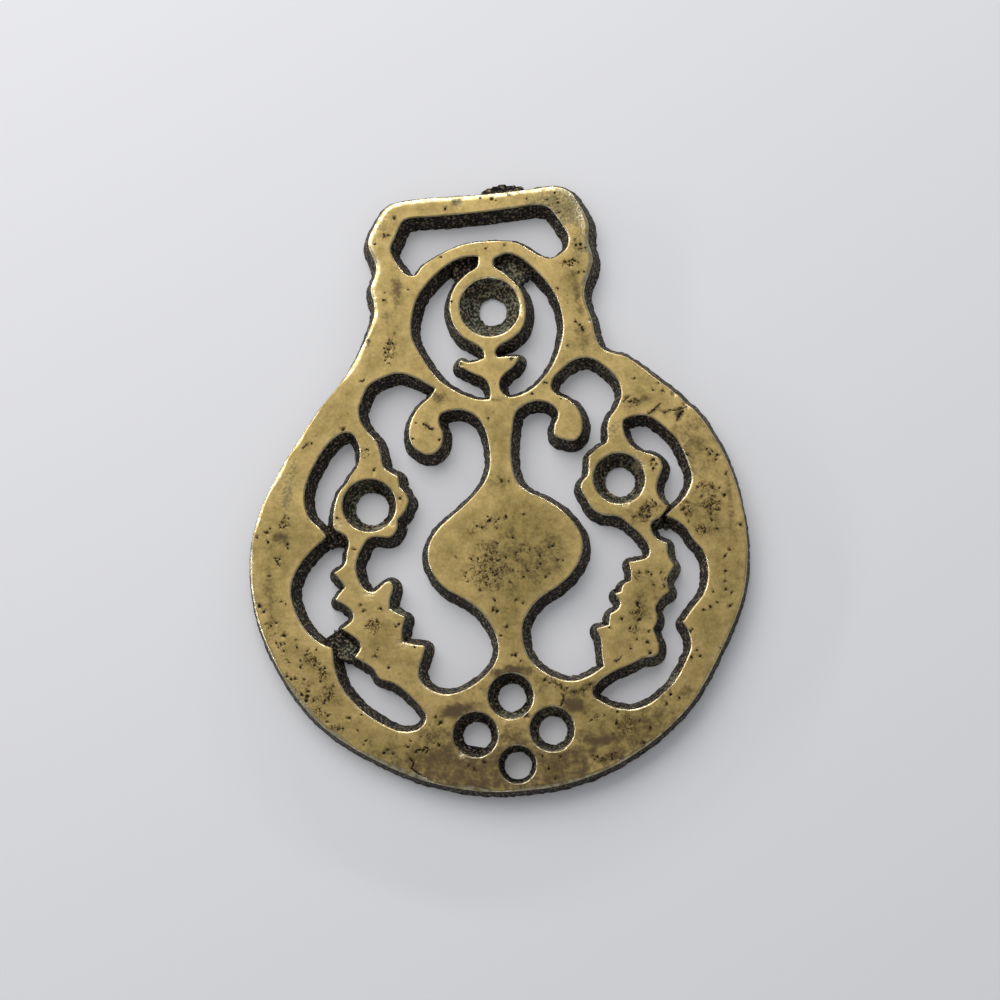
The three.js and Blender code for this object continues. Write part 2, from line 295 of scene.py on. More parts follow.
places = []
offsets = []
profile_of = []
for number, (outline, profile) in enumerate(zip(outlines, profiles)):
    run = respace(outline, RING_STEP, RING_BEND)
    normals = outward(run)
    worn = np.clip(0.8 + 1.1 * ripple(run, 5.0, 3.0), LEAST_WEAR, MOST_WEAR)
    lean = 1 + LEAN_BIAS * normals[:, 0]
    if -profile[1, 0] == RIM_WEAR:
        # The rim of the disc was finished closer to upright than the hanger was.
        lean = lean * np.interp(run[:, 1] + 0.35 * run[:, 0], [8, 24], [RIM_LEAN, 1.0])
        # Its right side stayed crisp, and the hanger wore the most.
        worn = worn * np.interp(normals[:, 0], [0.2, 0.6], [1.0, RIGHT_SIDE_WEAR])
        worn = np.where(run[:, 1] > HANGER_START, HANGER_WEAR, worn)
    for offset, height in profile:
        ragged = RAGGED_COARSE * ripple(run, COARSE_LENGTH, height)
        ragged = ragged + RAGGED_FINE * ripple(run, FINE_LENGTH, 7 + height)
        ragged *= np.clip(offset, 0.2, 1.0)
        foot_share = np.clip(offset / WALL_LEAN, 0.0, 1.0) ** 2
        ragged += RAGGED_FOOT * ripple(run, FOOT_LENGTH, 12.0) * foot_share
        reach = offset * (lean if offset > 0 else worn)
        ring = run + normals * (reach + ragged)[:, None]
        kept = np.abs(to_edge(ring)[0]) > 0.9 * np.abs(reach) - 0.15
        places.append(ring[kept])
        offsets.append(np.full(kept.sum(), offset))
        profile_of.append(np.full(kept.sum(), number))

face_grid = grid_points(edge_points.min(axis=0), edge_points.max(axis=0), FACE_STEP)
distance, number = to_edge(face_grid)
on_face = distance < -EDGE_MARGIN - np.where(number == 0, RIM_WEAR, EDGE_WEAR)
places.append(face_grid[on_face])
offsets.append(distance[on_face])
profile_of.append(number[on_face])
longest_lean = (1 + LEAN_BIAS) * WALL_LEAN
for corners, level in shelves:
    shelf_grid = grid_points(corners.min(axis=0) - 0.3, corners.max(axis=0) + 0.3, RING_STEP)
    distance, number = to_edge(shelf_grid)
    on_shelf = (distance > 0.5) & (level > THICKNESS * (1 - distance / longest_lean))
    on_shelf &= (shelf_heights(shelf_grid) > 0) | (distance > longest_lean + 0.1)
    places.append(shelf_grid[on_shelf])
    offsets.append(np.full(on_shelf.sum(), WALL_LEAN))
    profile_of.append(number[on_shelf])

# Pits left by the sand, which polishing has opened. Each is given as x, y and radius, in mm
# from the centre of the disc.
LONE_PITS = [
    (-38.1, 5.6, 0.15), (-38.6, 4.9, 0.2), (-38.5, 3.3, 0.2), (-35.3, 2.7, 0.2),
    (-35.3, 2.1, 0.15), (-40.3, 4.2, 0.12), (-38.6, -2.4, 0.15), (-36.8, -6.8, 0.12),
    (-36.1, -7.2, 0.12), (-40.5, -7.3, 0.3), (-39.8, -8.3, 0.2), (-37.8, -10.3, 0.15),
    (-36.6, -12.5, 0.27), (-37.2, -13.9, 0.15), (-34.6, -14.6, 0.18), (-34.7, -13.3, 0.12),
    (-26.8, 6.6, 0.2), (-24.2, 1.1, 0.15), (-16.1, 9.2, 0.2), (-20.2, 14.3, 0.15),
    (-20.4, -9.1, 0.2), (-17.6, -11.9, 0.2), (-18.2, -12.3, 0.15), (-21.0, -11.7, 0.12),
    (-23.3, -9.4, 0.15), (-23.8, -8.2, 0.12), (-23.9, -17.6, 0.15), (-19.7, -19.0, 0.2),
    (-15.2, -15.9, 0.18), (-36.5, -19.3, 0.25), (-35.8, -19.8, 0.2), (-33.3, -22.8, 0.3),
    (-33.5, -23.5, 0.28), (-34.2, -22.4, 0.2), (-33.0, -22.0, 0.2), (-35.2, -22.0, 0.15),
    (-26.6, -26.8, 0.2), (-24.6, -26.4, 0.15), (-25.4, -28.9, 0.15), (-24.2, -30.7, 0.15),
    (-24.5, -31.3, 0.12), (-21.3, -32.9, 0.25), (-20.7, -32.4, 0.15), (-19.9, -33.1, 0.1),
    (-17.3, -32.2, 0.2), (-12.2, -32.3, 0.22), (-11.7, -28.6, 0.27), (-12.5, -27.6, 0.2),
    (-7.6, -35.9, 0.15), (-6.7, -36.6, 0.12), (-4.9, -35.5, 0.15), (2.3, -28.3, 0.35),
    (4.5, -35.1, 0.15), (5.4, -37.3, 0.2), (6.4, -39.0, 0.15), (5.8, -22.8, 0.22),
    (-1.9, -10.7, 0.2), (-1.2, -10.9, 0.25), (0.2, -13.6, 0.2), (1.3, -18.4, 0.25),
    (0.7, -18.3, 0.15), (2.1, -19.4, 0.12), (-0.9, -15.0, 0.17), (3.1, -9.9, 0.15),
    (1.4, 4.9, 0.2), (-1.4, 4.4, 0.25), (-3.6, 3.7, 0.15), (4.3, 5.1, 0.15), (2.2, 1.2, 0.15),
    (6.5, -3.5, 0.18), (-4.9, -1.9, 0.15), (1.1, 10.9, 0.12), (2.2, 10.9, 0.15),
    (-12.7, 22.0, 0.14), (-13.4, 19.3, 0.16), (-8.9, 18.8, 0.2), (-25.0, 21.6, 0.2),
    (-0.4, 22.0, 0.15), (7.3, 25.7, 0.2), (12.0, 24.5, 0.12), (13.8, 33.7, 0.12),
    (15.6, 37.8, 0.2), (18.2, 37.9, 0.2), (-30.4, 19.7, 0.16), (-16.9, 43.9, 0.2),
    (-16.6, 45.2, 0.12), (-12.6, 45.5, 0.15), (-6.5, 50.9, 0.15), (1.1, 51.9, 0.15),
    (4.3, 52.2, 0.12), (13.0, 43.9, 0.15), (16.8, 46.6, 0.18), (17.7, 46.6, 0.15),
    (17.5, 51.5, 0.25), (18.3, 50.8, 0.15), (-5.3, 42.8, 0.15), (-14.2, 58.4, 0.2),
    (-5.3, 59.5, 0.18), (0.8, 61.1, 0.18), (2.8, 60.7, 0.22), (3.5, 60.4, 0.12),
    (3.5, 61.7, 0.12), (7.5, 61.7, 0.15), (8.8, 60.3, 0.12), (-17.8, 54.0, 0.15),
    (24.8, 27.2, 0.15), (27.7, 24.9, 0.15), (29.4, 24.7, 0.15), (28.8, 26.1, 0.12),
    (24.6, 23.6, 0.12), (32.5, 13.3, 0.2), (36.4, 13.2, 0.2), (37.6, 13.0, 0.2),
    (35.9, 14.1, 0.15), (37.2, 12.1, 0.15), (36.8, 13.6, 0.12), (38.2, 6.0, 0.25),
    (37.4, 7.3, 0.15), (38.8, 9.7, 0.12), (40.3, 0.8, 0.2), (38.2, -3.3, 0.15),
    (22.2, -13.9, 0.25), (19.3, -13.6, 0.2), (22.1, -11.2, 0.25), (25.0, -8.3, 0.15),
    (26.4, -6.3, 0.15), (23.5, -16.1, 0.12), (23.2, -17.8, 0.2), (23.5, -19.6, 0.25),
    (21.5, -17.2, 0.15), (20.3, -18.6, 0.15), (20.6, -5.0, 0.15), (17.1, -14.9, 0.15),
    (32.9, -13.0, 0.2), (34.1, -12.6, 0.22), (34.8, -10.2, 0.15), (36.9, -9.9, 0.2),
    (35.3, -12.0, 0.15), (37.4, -12.7, 0.2), (37.1, -6.8, 0.2), (37.3, -4.3, 0.22),
    (36.9, -8.5, 0.12), (30.4, -16.5, 0.25), (30.8, -16.1, 0.15), (30.2, -20.7, 0.2),
    (31.2, -19.6, 0.15), (31.6, -20.7, 0.18), (35.1, -19.5, 0.15), (37.8, -10.5, 0.15),
    (26.3, -26.6, 0.25), (27.6, -27.3, 0.15), (25.5, -28.1, 0.15), (22.5, -31.8, 0.2),
    (21.4, -34.4, 0.3), (24.6, -32.7, 0.2), (17.0, -30.7, 0.22), (17.3, -28.8, 0.2),
    (17.2, -36.7, 0.25), (13.5, -35.9, 0.2), (26.8, 12.9, 0.25), (26.6, 11.4, 0.22),
    (27.2, 12.2, 0.15), (26.3, 12.2, 0.12),
]
# Cracks and scratches: their half width and the points that they run through.
SCRATCHES = [
    (0.12, [(-37.5, 0.4), (-36.8, -0.9)]), (0.1, [(-37.2, 0.6), (-36.6, 0.3)]),
    (0.13, [(-16.2, -33.2), (-15.7, -32.7), (-14.9, -32.9), (-14.3, -32.5), (-13.9, -32.8),
            (-14.3, -33.2)]),
    (0.13, [(-17.0, -34.2), (-16.5, -34.8), (-16.9, -35.7), (-16.2, -36.3), (-15.4, -36.9),
            (-14.8, -37.3)]),
    (0.16, [(-11.5, 21.8), (-10.1, 20.7)]), (0.08, [(-31.9, 19.0), (-31.2, 19.7)]),
    (0.08, [(-21.5, 29.8), (-21.0, 30.1)]), (0.18, [(5.5, 61.7), (6.0, 61.2)]),
    (0.1, [(26.6, 20.8), (27.4, 21.4), (28.8, 22.5)]),
    (0.08, [(29.3, 20.8), (30.4, 21.3), (31.2, 21.1), (33.2, 21.6)]),
    (0.17, [(31.4, 19.6), (31.9, 20.4), (32.5, 20.9)]), (0.08, [(22.7, 23.4), (23.6, 24.1)]),
    (0.09, [(17.7, -20.8), (18.0, -20.4), (18.6, -20.0)]), (0.12, [(8.8, -25.6), (8.1, -27.4)]),
    (0.22, [(16.2, 37.3), (16.3, 37.1)]), (0.2, [(16.5, 36.7), (16.7, 36.3)]),
    (0.12, [(9.5, 27.7), (9.9, 27.4)]), (0.15, [(4.0, 32.0), (4.6, 32.5)]),
]
# Patches of small pits: x, y, reach across, reach along, turn in degrees, crowding.
PIT_PATCHES = [
    (-1.9, -3.6, 3.9, 4.4, 0, 1.2), (4.8, -2.5, 4.5, 5.0, 0, 0.4),
    (-2.0, 3.5, 4.0, 2.0, 0, 0.5), (13.8, 58.0, 4.5, 3.8, 0, 0.4),
    (-16.3, 35.3, 0.9, 2.6, -18, 3.0), (15.3, 48.3, 1.8, 0.8, 0, 3.5),
    (-20.0, 36.5, 0.5, 0.9, 0, 2.0), (-15.9, 55.3, 0.7, 0.7, 0, 3.0),
    (-21.6, 17.9, 0.8, 1.6, 0, 1.5), (-35.6, 6.3, 0.9, 1.2, -20, 3.5),
    (-32.4, -16.8, 2.2, 1.3, -35, 3.2), (-30.7, -19.0, 0.8, 1.4, 30, 3.0),
    (-30.2, -22.8, 1.5, 1.9, 0, 1.6), (-31.2, -25.6, 1.6, 0.7, -35, 2.2),
    (-28.6, -28.5, 1.4, 0.8, -30, 2.2), (-38.0, -12.0, 1.6, 6.0, 15, 0.5),
    (-33.5, -22.0, 2.2, 3.2, 35, 0.8), (-22.0, -12.0, 1.6, 1.1, 20, 2.0),
    (-21.5, -17.0, 1.2, 1.2, 0, 0.8), (25.2, 4.6, 2.2, 1.2, 20, 2.6),
    (23.6, 3.2, 2.0, 0.9, -15, 1.6), (31.6, 4.0, 1.3, 1.8, 20, 2.2),
    (35.8, 4.6, 1.7, 2.3, 0, 2.0), (34.8, 8.0, 1.6, 0.8, 0, 1.6),
    (34.6, 0.4, 2.0, 1.2, -20, 1.5), (20.8, -15.5, 0.9, 0.7, 0, 3.0),
    (21.6, -12.6, 1.1, 0.8, 0, 2.5), (26.9, -7.9, 0.7, 1.1, 0, 2.5),
    (23.0, -6.5, 2.0, 1.8, 0, 0.8), (18.9, -31.2, 1.9, 1.3, 20, 1.4),
    (12.5, -24.6, 3.0, 1.0, 5, 1.3), (8.0, -23.8, 1.8, 1.1, -30, 1.5),
    (13.5, -29.3, 2.0, 0.8, 10, 1.0), (15.0, -36.0, 2.5, 1.0, 10, 1.3),
    (7.6, -35.6, 0.8, 0.6, 0, 1.5), (-13.0, -30.8, 2.5, 1.2, 0, 0.6),
    (24.5, 23.0, 1.6, 0.7, 10, 1.5), (17.2, 52.0, 1.2, 1.6, 0, 0.8),
]


# Dents and nicks in the face and its rim: x, y, radius and depth.
DENTS = [
    (-3.2, 60.6, 0.85, 0.22), (-41.7, -6.9, 0.55, 0.35), (31.4, 24.2, 0.6, 0.25),
    (33.2, 22.2, 0.7, 0.2), (-4.6, 31.6, 0.5, 0.3), (32.0, 20.4, 0.8, 0.12),
    (-35.6, 6.3, 0.7, 0.06), (15.3, 48.3, 0.9, 0.07), (-16.3, 35.3, 0.9, 0.07),
]


PIT_CROWDING = 0.6
SMALLEST_PIT, LARGEST_PIT = 0.08, 0.17
PIT_DEPTH = 0.6
# Rings of mesh points round each hollow: how many, and how far out in radii.
HOLLOW_RINGS = ((1, 0.0), (5, 0.55), (7, 1.0), (8, 1.3))


def scattered_pits(crowds, seed):
    """Pits thrown into the patches, most of them near each patch's middle."""
    chance = np.random.default_rng(seed)
    pits = []
    for x, y, across, along, turn, crowding in crowds:
        count = int(PIT_CROWDING * crowding * math.pi * across * along)
        spread = chance.normal(0.0, 0.5, (count, 2)) * (across, along)
        way = math.radians(turn)
        for gap_x, gap_y in spread:
            pits.append((
                x + gap_x * math.cos(way) - gap_y * math.sin(way),
                y + gap_x * math.sin(way) + gap_y * math.cos(way),
                chance.uniform(SMALLEST_PIT, LARGEST_PIT),
            ))
    return pits


def pits_along(scratches, seed):
    """Pits that overlap in an uneven row, along each crack or scratch."""
    chance = np.random.default_rng(seed)
    pits = []
    for half_width, line in scratches:
        for start, end in zip(line, line[1:]):
            count = max(1, round(math.dist(start, end) / (1.3 * half_width)))
            for t in np.arange(count + 1) / count:
                shift_x, shift_y = chance.uniform(-0.6, 0.6, 2) * half_width
                pits.append((
                    start[0] + (end[0] - start[0]) * t + shift_x,
                    start[1] + (end[1] - start[1]) * t + shift_y,
                    half_width * chance.uniform(0.6, 1.2),
                ))
    return pits


pits = np.array(LONE_PITS + pits_along(SCRATCHES, 5) + scattered_pits(PIT_PATCHES, 3))
pits[:, :2] += DISC_CENTRE
dents = np.array(DENTS)
dents[:, :2] += DISC_CENTRE
hollows = np.concatenate([pits, dents[:, :3]])
for count, reach in HOLLOW_RINGS:
    turn = np.arange(count) * 2 * math.pi / count
    circle = reach * np.stack([np.cos(turn), np.sin(turn)], axis=1)
    around = (hollows[:, None, :2] + circle[None] * hollows[:, None, 2:]).reshape(-1, 2)
    distance, number = to_edge(around)
    whole = distance < -PIT_MARGIN
    places.append(around[whole])
    offsets.append(distance[whole])
    profile_of.append(number[whole])
places = np.concatenate(places)
offsets = np.concatenate(offsets)
profile_of = np.concatenate(profile_of)

spread, _, triangles, sources, _, _ = delaunay_2d_cdt(
    [Vector(place) for place in places], [], [], 0, 0.01
)
spots = np.array([spot[:] for spot in spread])
origin = np.array([source[0] for source in sources])
spot_offsets = offsets[origin]
spot_profiles = profile_of[origin]
heights = np.zeros(len(spots))
for number, profile in enumerate(profiles):
    chosen = spot_profiles == number
    heights[chosen] = np.interp(spot_offsets[chosen], profile[:, 0], profile[:, 1])
SHELF_ROUGH = 0.2
SHELF_GRAIN = 0.08
TIP = 0.35
shelf = shelf_heights(spots)
# A tip that is held on one side only has broken off.
held = np.flatnonzero(shelf)
holds = np.zeros(len(held), int)
for step in ((TIP, 0.0), (-TIP, 0.0), (0.0, TIP), (0.0, -TIP)):
    beside = spots[held] + step
    holds += (shelf_heights(beside) > 0) | (to_edge(beside)[0] < WALL_LEAN)
shelf[held[holds < 2]] = 0.0
rough = SHELF_ROUGH * ripple(spots, 1.3, 8.0) + SHELF_GRAIN * ripple(spots, 0.5, 9.0)
shelf += rough * (shelf > 0)
heights = np.where(spot_offsets > 0.2, np.maximum(heights, shelf), heights)
heights[heights < 0.02] = 0.0

# The face is not flat: it sags towards its edges, rolls a little, and drops into the pits.
inward = np.clip(-spot_offsets, 0.0, None)
drop = PILLOW * np.exp(-inward / PILLOW_REACH)
long_roll = LONG_ROLL * (1 + ripple(spots, LONG_ROLL_LENGTH, 1.0))
short_roll = SHORT_ROLL * (1 + ripple(spots, SHORT_ROLL_LENGTH, 2.0))
drop += long_roll + short_roll
sunk = np.zeros(len(spots))
packed = np.zeros(len(spots))
jagged = 1 + 0.35 * ripple(spots, 0.35, 4.0)
for x, y, radius in pits:
    near = np.hypot(spots[:, 0] - x, spots[:, 1] - y) / radius * jagged
    sunk = np.maximum(sunk, radius * np.clip(1 - near**2, 0.0, 1.0))
    packed = np.maximum(packed, np.clip(3.0 - 2.2 * near, 0.0, 1.0))
for x, y, radius, depth in dents:
    near = np.hypot(spots[:, 0] - x, spots[:, 1] - y) / radius * jagged
    drop += depth * np.clip(1 - near**2, 0.0, 1.0)
heights -= (drop + PIT_DEPTH * sunk) * (heights / THICKNESS)

# Where a wall only grazes the back along one edge, the edge's middle is lifted, so that the
# skin never touches itself.
solid_triangles = [corners for corners in triangles if heights[list(corners)].max() > 0.0]
edge_uses = {}
for corners in solid_triangles:
    for edge in zip(corners, corners[1:] + corners[:1]):
        edge_uses.setdefault(tuple(sorted(edge)), []).append(corners)
for edge, users in edge_uses.items():
    if len(users) == 2 and heights[list(edge)].max() == 0.0:
        middle = len(spots)
        spots = np.append(spots, [spots[list(edge)].mean(axis=0)], axis=0)
        heights = np.append(heights, GRAZE_LIFT)
        spot_offsets = np.append(spot_offsets, spot_offsets[edge[0]])
        spot_profiles = np.append(spot_profiles, spot_profiles[edge[0]])
        packed = np.append(packed, 0.0)
        for corners in users:
            solid_triangles.remove(corners)
            for start in edge:
                solid_triangles.append([middle if i == start else i for i in corners])

# What each place has been through: sand pits, brown stains, dull grey skin, and a pale
# bloom of verdigris and dried polish on the dirt of the walls. Each patch is x, y, reach
# across, reach along, turn in degrees, strength.
PITTED = [row[:5] + (min(1.0, 0.35 + row[5] / 3),) for row in PIT_PATCHES]
STAINED = [
    (-8.4, 26.1, 1.5, 1.1, 0, 0.65), (1.5, 25.2, 1.2, 0.5, 0, 0.7),
    (0.0, -39.0, 12.0, 1.5, 0, 0.8), (-9.5, -36.5, 4.0, 1.3, -25, 0.6),
    (-13.0, -30.5, 3.0, 2.2, 0, 0.5), (-9.0, -26.8, 3.2, 1.1, 15, 1.0),
    (0.0, -20.9, 3.5, 0.8, 0, 1.0), (0.0, -31.5, 1.8, 1.2, 0, 0.7),
    (10.6, -27.3, 2.2, 1.2, -15, 1.0), (14.0, -33.2, 4.0, 0.8, 0, 1.0),
    (15.0, -36.0, 4.5, 1.3, 12, 0.7), (9.0, -38.5, 4.0, 1.2, 12, 0.7),
    (28.5, -26.5, 1.6, 1.1, 30, 0.6), (-36.5, 3.8, 1.5, 1.0, 0, 0.8),
    (-32.4, -17.0, 2.0, 1.4, -35, 0.5), (-14.6, 45.5, 0.9, 3.5, 0, 0.7),
    (-16.6, 41.0, 0.8, 2.5, 0, 0.4), (16.2, 43.0, 0.7, 4.0, 5, 0.7),
    (16.6, 35.0, 1.2, 2.5, 0, 0.5), (21.5, -12.6, 1.2, 1.0, 0, 0.5),
    (5.8, -3.0, 2.5, 3.5, 20, 0.5), (24.0, 4.0, 3.5, 1.5, 10, 0.5),
    (34.5, 4.0, 3.2, 4.0, 0, 0.45), (12.0, -24.5, 4.0, 1.2, 0, 0.5),
    (39.0, 5.0, 0.7, 12.0, 0, 0.4), (-4.0, -36.0, 20.0, 5.0, 0, 0.75),
    (32.5, 14.0, 4.0, 6.0, 0, 0.45), (20.0, -31.0, 9.0, 4.0, 35, 0.5),
    (1.5, -2.0, 5.5, 6.5, 0, 0.4), (8.0, -2.0, 2.2, 4.0, 0, 0.5),
    (-38.6, -5.0, 0.8, 7.0, 0, 0.5), (23.0, -12.0, 3.0, 6.0, -10, 0.3),
    (-0.5, -23.0, 12.0, 2.0, 0, 0.3), (31.9, 20.4, 0.7, 1.0, -40, 1.2),
    (28.0, 21.7, 1.4, 0.5, 40, 0.7), (30.8, 21.4, 2.2, 0.4, 8, 0.7),
    (25.5, 23.3, 2.5, 0.5, 15, 0.7), (-3.2, 60.6, 0.8, 0.8, 0, 0.7),
    (-29.5, -23.0, 2.5, 3.5, 0, 0.3), (0.5, 11.5, 2.0, 2.0, 0, 0.4),
]
DULLED = [
    (13.8, 58.0, 5.2, 4.3, 0, 1.0), (-34.8, 12.0, 0.8, 4.0, -10, 1.0),
    (-33.8, 16.0, 0.6, 2.5, -25, 0.7), (-16.5, 57.0, 1.2, 3.0, -35, 0.6),
    (17.2, 51.0, 1.5, 2.5, 0, 0.6), (-21.0, -21.0, 6.0, 2.0, -30, 0.3),
    (20.5, 18.8, 1.0, 2.0, -20, 0.6), (32.0, 20.4, 1.0, 1.0, 0, 0.8),
    (-1.9, -3.6, 3.5, 4.0, 0, 0.5), (-3.2, 60.6, 0.8, 0.8, 0, 1.5),
]
BLOOMED = [
    (1.1, 41.45, 5.5, 5.5, 0, 0.8), (-26.4, -15.7, 1.3, 1.1, 0, 1.0),
    (5.4, 48.0, 2.2, 1.6, -40, 1.0), (20.75, 10.15, 4.5, 4.5, 0, 0.6),
    (-23.0, 8.5, 1.6, 4.0, 0, 0.8), (-20.5, 5.0, 3.0, 0.8, 0, 1.0),
    (6.4, -30.85, 4.0, 4.0, 0, 0.4), (-0.3, -27.8, 3.0, 0.9, 0, 0.8),
    (28.0, 0.0, 1.5, 2.0, 0, 0.6), (28.6, 6.8, 1.6, 1.6, 0, 0.9),
    (16.0, 28.5, 5.0, 2.0, 0, 0.4), (27.4, -12.0, 1.5, 3.0, 0, 0.9),
    (29.0, -5.5, 1.2, 5.0, 0, 0.9), (24.0, -20.6, 4.0, 0.9, 0, 0.7),
    (26.5, -24.0, 1.5, 1.5, 0, 0.8), (-18.0, -11.0, 1.5, 3.5, 0, 0.5),
    (-16.0, -19.0, 1.5, 4.0, 0, 0.4), (6.0, 32.5, 3.0, 0.8, 0, 0.9),
    (-3.5, 33.0, 2.5, 0.8, 0, 0.7), (17.0, 9.0, 1.5, 4.0, 0, 0.5),
]
# Where the dirt is rubbed off the walls and sunk holes to bare metal, with a highlight painted on
# that metal.
BARE_METAL_HIGHLIGHTS = [
    (-20.3, 4.9, 2.2, 0.35, 5, 1.0), (-20.3, 5.9, 1.9, 0.25, 5, 0.6),
    (23.7, 12.3, 1.3, 0.8, -50, 0.8), (22.5, 6.4, 2.0, 0.4, 30, 0.6),
    (6.0, 42.0, 0.4, 2.6, 10, 0.5), (0.5, -28.4, 1.5, 0.3, 10, 0.7),
    (7.5, -34.2, 1.0, 0.3, 15, 0.8), (-8.6, -34.0, 0.8, 0.4, -40, 0.6),
    (-22.2, -6.5, 0.9, 0.5, 0, 0.4), (-16.5, -15.0, 1.4, 0.4, 0, 0.5),
    (-30.0, -32.0, 8.0, 0.8, -45, 0.45), (-38.6, -21.0, 0.6, 5.0, 25, 0.4),
    (-27.0, 5.5, 1.0, 1.0, 0, 0.3), (17.5, 57.5, 0.6, 3.5, 10, 0.5),
]


# Where the edge is left without its worn polish and its painted highlight.
EDGES_WITHOUT_HIGHLIGHT = [
    (26.5, 27.0, 8.5, 2.5, -48, 0.85), (39.0, 4.0, 2.0, 16.0, 8, 0.5),
]


def patches(places, blots):
    """How far each place lies in any of the oval patches, from 0 to each one's strength."""
    result = np.zeros(len(places))
    wander = 0.4 * ripple(places, 2.0, 5.0) + 0.3 * ripple(places, 0.8, 6.0)
    for x, y, across, along, turn, strength in blots:
        gap = places - DISC_CENTRE - (x, y)
        way = math.radians(turn)
        gap_x = (gap[:, 0] * math.cos(way) + gap[:, 1] * math.sin(way)) / across
        gap_y = (gap[:, 1] * math.cos(way) - gap[:, 0] * math.sin(way)) / along
        near = np.clip(1.5 - np.hypot(gap_x, gap_y) + wander, 0.0, 1.0)
        result = np.maximum(result, strength * near)
    return result


inward = np.clip(-spot_offsets, 0.0, None)
wear = np.array([-profile[1, 0] for profile in profiles])[spot_profiles]
# The band of worn polish round each edge, which also carries a painted highlight.
edge_polish_and_highlight = np.interp(spot_offsets / wear, [-1.0, -0.4, 0.2, 0.5], [0.0, 1.0, 1.0, 0.0])
RUB_REACH = 1.8
BARE_SHARE = 0.75
# Bare metal where the dirt is rubbed off, which also takes the painted highlight.
bare_metal_highlights = patches(spots, BARE_METAL_HIGHLIGHTS)
masks = {
    "pitted": patches(spots, PITTED),
    "stained": patches(spots, STAINED),
    "dulled": patches(spots, DULLED),
    "bloomed": patches(spots, BLOOMED),
    "packed": packed,
    "rubbed": np.exp(-inward / RUB_REACH),
    "polish_and_highlight": np.maximum(edge_polish_and_highlight * (1 - patches(spots, EDGES_WITHOUT_HIGHLIGHT)), bare_metal_highlights),
    "walled": np.interp(spot_offsets, [0.02, 0.2], [0.0, 1.0]) - BARE_SHARE * bare_metal_highlights,
}

# The back is flat, inside the ragged edge where the walls end.
edge_uses = {}
for corners in solid_triangles:
    for edge in zip(corners, corners[1:] + corners[:1]):
        edge = tuple(sorted(edge))
        edge_uses[edge] = edge_uses.get(edge, 0) + 1
foot_edges = np.array([edge for edge, uses in edge_uses.items() if uses == 1])
foot_points, foot_rank = np.unique(foot_edges, return_inverse=True)
back_grid = grid_points(edge_points.min(axis=0), edge_points.max(axis=0), BACK_STEP)
back_grid = back_grid[to_edge(back_grid)[0] < 0.0]
back_places = [Vector(place) for place in np.concatenate([spots[foot_points], back_grid])]
back_spread, _, back_triangles, back_sources, _, _ = delaunay_2d_cdt(
    back_places, foot_rank.reshape(-1, 2).tolist(), [], 0, 1e-5
)
foot_start, foot_end = spots[foot_edges[:, 0]], spots[foot_edges[:, 1]]


def within_foot(place):
    """Whether a place is metal at the back: it sees an odd number of edges to its right."""
    passed = (foot_start[:, 1] > place[1]) != (foot_end[:, 1] > place[1])
    start, step = foot_start[passed], foot_end[passed] - foot_start[passed]
    crossing = start[:, 0] + step[:, 0] * (place[1] - start[:, 1]) / step[:, 1]
    return np.count_nonzero(crossing > place[0]) % 2 == 1


corners_3d = [(x * MM, y * MM, z * MM) for (x, y), z in zip(spots, heights)]
back_index = []
for spot, source in zip(back_spread, back_sources):
    if source and source[0] < len(foot_points):
        back_index.append(int(foot_points[source[0]]))
    else:
        back_index.append(len(corners_3d))
        corners_3d.append((spot.x * MM, spot.y * MM, 0.0))
faces = list(solid_triangles)
for corners in back_triangles:
    if within_foot(sum((back_spread[i] for i in corners), Vector((0.0, 0.0))) / 3):
        faces.append([back_index[i] for i in reversed(corners)])

skin = bpy.data.meshes.new("brass_casting")
skin.from_pydata(corners_3d, [], faces)
for name, mask in masks.items():
    values = np.concatenate([mask, np.ones(len(corners_3d) - len(mask))])
    skin.attributes.new(name, "FLOAT", "POINT").data.foreach_set("value", values)
cleaning = bmesh.new()
cleaning.from_mesh(skin)
loose = [vert for vert in cleaning.verts if not vert.link_faces]
bmesh.ops.delete(cleaning, geom=loose, context="VERTS")
cleaning.to_mesh(skin)
cleaning.free()
skin.shade_smooth()
skin.set_sharp_from_angle(angle=math.radians(50))
casting = bpy.data.objects.new("brass_casting", skin)
bpy.context.scene.collection.objects.link(casting)

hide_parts("horse_brass")
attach(casting, "root")


def linear(hex_colour):
    """Turns an sRGB hex colour into the linear colour that a shader takes."""
    shares = [int(hex_colour[i:i + 2], 16) / 255 for i in (1, 3, 5)]
    return [s / 12.92 if s <= 0.04045 else ((s + 0.055) / 1.055) ** 2.4 for s in shares] + [1.0]


def add(tree, kind, inputs=(), **settings):
    """Adds a node of a kind, with its settings, and with its inputs set or linked."""
    node = tree.nodes.new("ShaderNode" + kind)
    for name, value in settings.items():
        setattr(node, name, value)
    for key, value in dict(inputs).items():
        if isinstance(value, bpy.types.NodeSocket):
            tree.links.new(value, node.inputs[key])
        else:
            node.inputs[key].default_value = value
    return node


# Worn cast brass: a dull gold that handling keeps half bright, with olive tarnish in its
# hollows, open pits from the sand, and black dirt packed hard on every cut wall. The dirt
# is matt and swallows light, so the surface's sheen is low wherever it isn't metal.
brass = bpy.data.materials.new("worn_cast_brass")
brass.use_nodes = True
nodes = brass.node_tree
nodes.nodes.clear()
place = add(nodes, "TexCoord").outputs["Object"]
pitted = add(nodes, "Attribute", attribute_name="pitted").outputs["Fac"]
stained = add(nodes, "Attribute", attribute_name="stained").outputs["Fac"]
dulled = add(nodes, "Attribute", attribute_name="dulled").outputs["Fac"]
bloomed = add(nodes, "Attribute", attribute_name="bloomed").outputs["Fac"]
packed = add(nodes, "Attribute", attribute_name="packed").outputs["Fac"]
